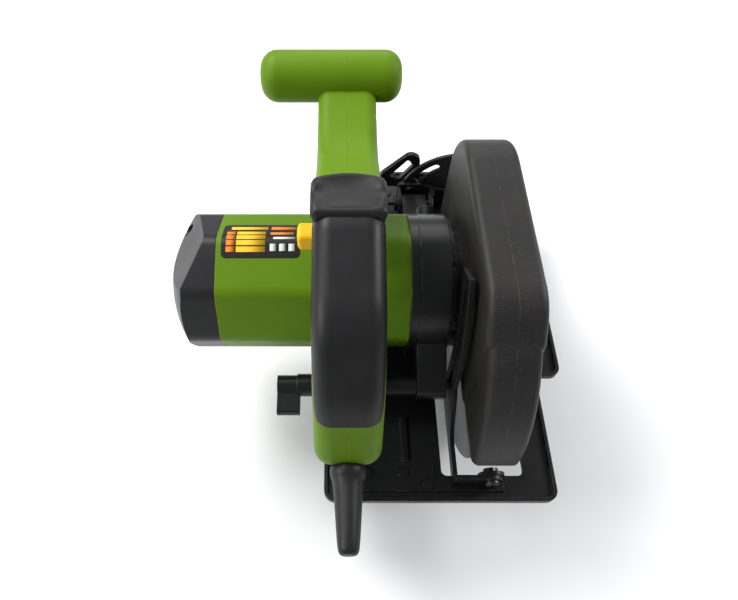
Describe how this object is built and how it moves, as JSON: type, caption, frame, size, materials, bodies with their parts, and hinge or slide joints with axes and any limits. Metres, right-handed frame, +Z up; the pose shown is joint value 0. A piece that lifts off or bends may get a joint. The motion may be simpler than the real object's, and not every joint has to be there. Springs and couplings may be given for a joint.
{
  "type": "circular saw",
  "caption": "Hand-held circular saw: pressed sole, tilting and depth frame, two-part guard with a sprung lower guard, geared motor, D grip and front cross handle.",
  "frame": {"origin": "on the plane of the sole's underside, in the plane of the blade, straight below the spindle", "axes": "+X to the blade side, +Y to the front of the cut, +Z up"},
  "size_m": [0.286, 0.346, 0.2378],
  "materials": {
    "painted_steel": "satin black powder coat",
    "zinc_steel": "zinc plated",
    "black_casting": "satin black paint on a casting",
    "bearing_steel": "ground",
    "green_plastic": "fine satin texture",
    "anthracite_plastic": "satin",
    "laminations": "varnished",
    "copper": "enamelled wire",
    "brass": "plain",
    "carbon": "dry",
    "guard_plastic": "satin texture",
    "soft_grip": "soft satin",
    "label": "printed film",
    "blade_steel": "ground rings",
    "carbide": "ground",
    "guard_metal": "tumbled casting",
    "yellow_plastic": "satin"
  },
  "bodies": {
    "sole": {"base_plate": "painted_steel", "rear_pivot_bracket": "painted_steel", "bevel_quadrant": "painted_steel", "fence_bracket": "painted_steel", "sole_rivets": "zinc_steel"},
    "fence_screw": {"fence_screw": "zinc_steel"},
    "tilt_frame": {"depth_arm": "painted_steel", "front_pivot_bracket": "painted_steel", "depth_pivot_pin": "zinc_steel", "bevel_bolt": "zinc_steel", "tilt_pivots": "zinc_steel"},
    "bevel_lever": {"bevel_lever": "painted_steel"},
    "saw_body": {"gear_housing": "black_casting", "bearing_bridge": "black_casting", "spindle_bearings": "bearing_steel", "motor_housing": "green_plastic", "motor_end_cap": "anthracite_plastic", "housing_screws": "zinc_steel", "stator_core": "laminations", "field_windings": "copper", "armature_bearings": "bearing_steel", "brush_holders": "brass", "carbon_brushes": "carbon", "guard_left_half": "guard_plastic", "guard_right_half": "guard_plastic", "guard_screws": "zinc_steel", "guard_spring": "bearing_steel", "guard_retaining_ring": "bearing_steel", "handle_left": "green_plastic", "handle_right": "green_plastic", "grip_overmould": "soft_grip", "thumb_rest": "soft_grip", "handle_screws": "zinc_steel", "switch_body": "anthracite_plastic", "strain_relief": "soft_grip", "rating_plate": "label", "depth_lock_bolt": "zinc_steel"},
    "blade": {"saw_blade": "blade_steel", "blade_tips": "carbide", "spindle": "bearing_steel", "drive_gear": "bearing_steel", "inner_flange": "bearing_steel", "outer_flange": "bearing_steel", "blade_bolt": "zinc_steel"},
    "armature": {"armature_shaft": "bearing_steel", "armature_core": "laminations", "commutator": "copper", "cooling_fan": "anthracite_plastic"},
    "lower_guard": {"lower_guard": "guard_metal", "guard_lift_lever": "anthracite_plastic"},
    "trigger": {"trigger": "anthracite_plastic"},
    "lock_off_button": {"lock_off_button": "yellow_plastic"},
    "spindle_lock_button": {"spindle_lock_button": "anthracite_plastic"},
    "depth_lock": {"depth_lock_rod": "painted_steel"}
  },
  "joints": [
    {"name": "bevel_tilt", "type": "hinge", "parent": "sole", "child": "tilt_frame", "pos_m": [0.002, 0, 0.0125], "axis": [0, 1, 0], "range_deg": [0, 45]},
    {"name": "depth_swing", "type": "hinge", "parent": "tilt_frame", "child": "saw_body", "pos_m": [-0.037, 0.126, 0.02], "axis": [-1, 0, 0], "range_deg": [0, 28]},
    {"name": "blade_spin", "type": "hinge", "parent": "saw_body", "child": "blade", "pos_m": [0, 0, 0.032], "axis": [1, 0, 0], "continuous": true},
    {"name": "armature_spin", "type": "hinge", "parent": "saw_body", "child": "armature", "pos_m": [-0.12, 0.01645, 0.06049], "axis": [1, 0, 0], "continuous": true},
    {"name": "lower_guard_swing", "type": "hinge", "parent": "saw_body", "child": "lower_guard", "pos_m": [0, 0, 0.032], "axis": [-1, 0, 0], "range_deg": [0, 110], "stiffness_Nm_per_rad": 0.12, "springref_deg": -45.84},
    {"name": "trigger_pull", "type": "slide", "parent": "saw_body", "child": "trigger", "axis": [0, 0, 1], "range_m": [0, 0.005], "stiffness_N_per_m": 800, "springref_m": -0.002},
    {"name": "lock_off_press", "type": "slide", "parent": "saw_body", "child": "lock_off_button", "axis": [1, 0, 0], "range_m": [0, 0.005], "stiffness_N_per_m": 600, "springref_m": -0.002},
    {"name": "spindle_lock_press", "type": "slide", "parent": "saw_body", "child": "spindle_lock_button", "axis": [0, -1, 0], "range_m": [0, 0.0035], "stiffness_N_per_m": 800, "springref_m": -0.002},
    {"name": "depth_lock_turn", "type": "hinge", "parent": "saw_body", "child": "depth_lock", "pos_m": [-0.09, -0.0516, 0.03], "axis": [-1, 0, 0], "range_deg": [0, 60]},
    {"name": "bevel_lock_turn", "type": "hinge", "parent": "tilt_frame", "child": "bevel_lever", "pos_m": [-0.03857, 0.1436, 0.02337], "axis": [0, 1, 0], "range_deg": [0, 60]},
    {"name": "fence_screw_turn", "type": "hinge", "parent": "sole", "child": "fence_screw", "pos_m": [-0.086, 0.141, 0.012], "axis": [0, 0, 1], "continuous": true}
  ],
  "couplings": [
    {"joint": "armature_spin", "follows": "blade_spin", "ratio": -3.2727}
  ]
}
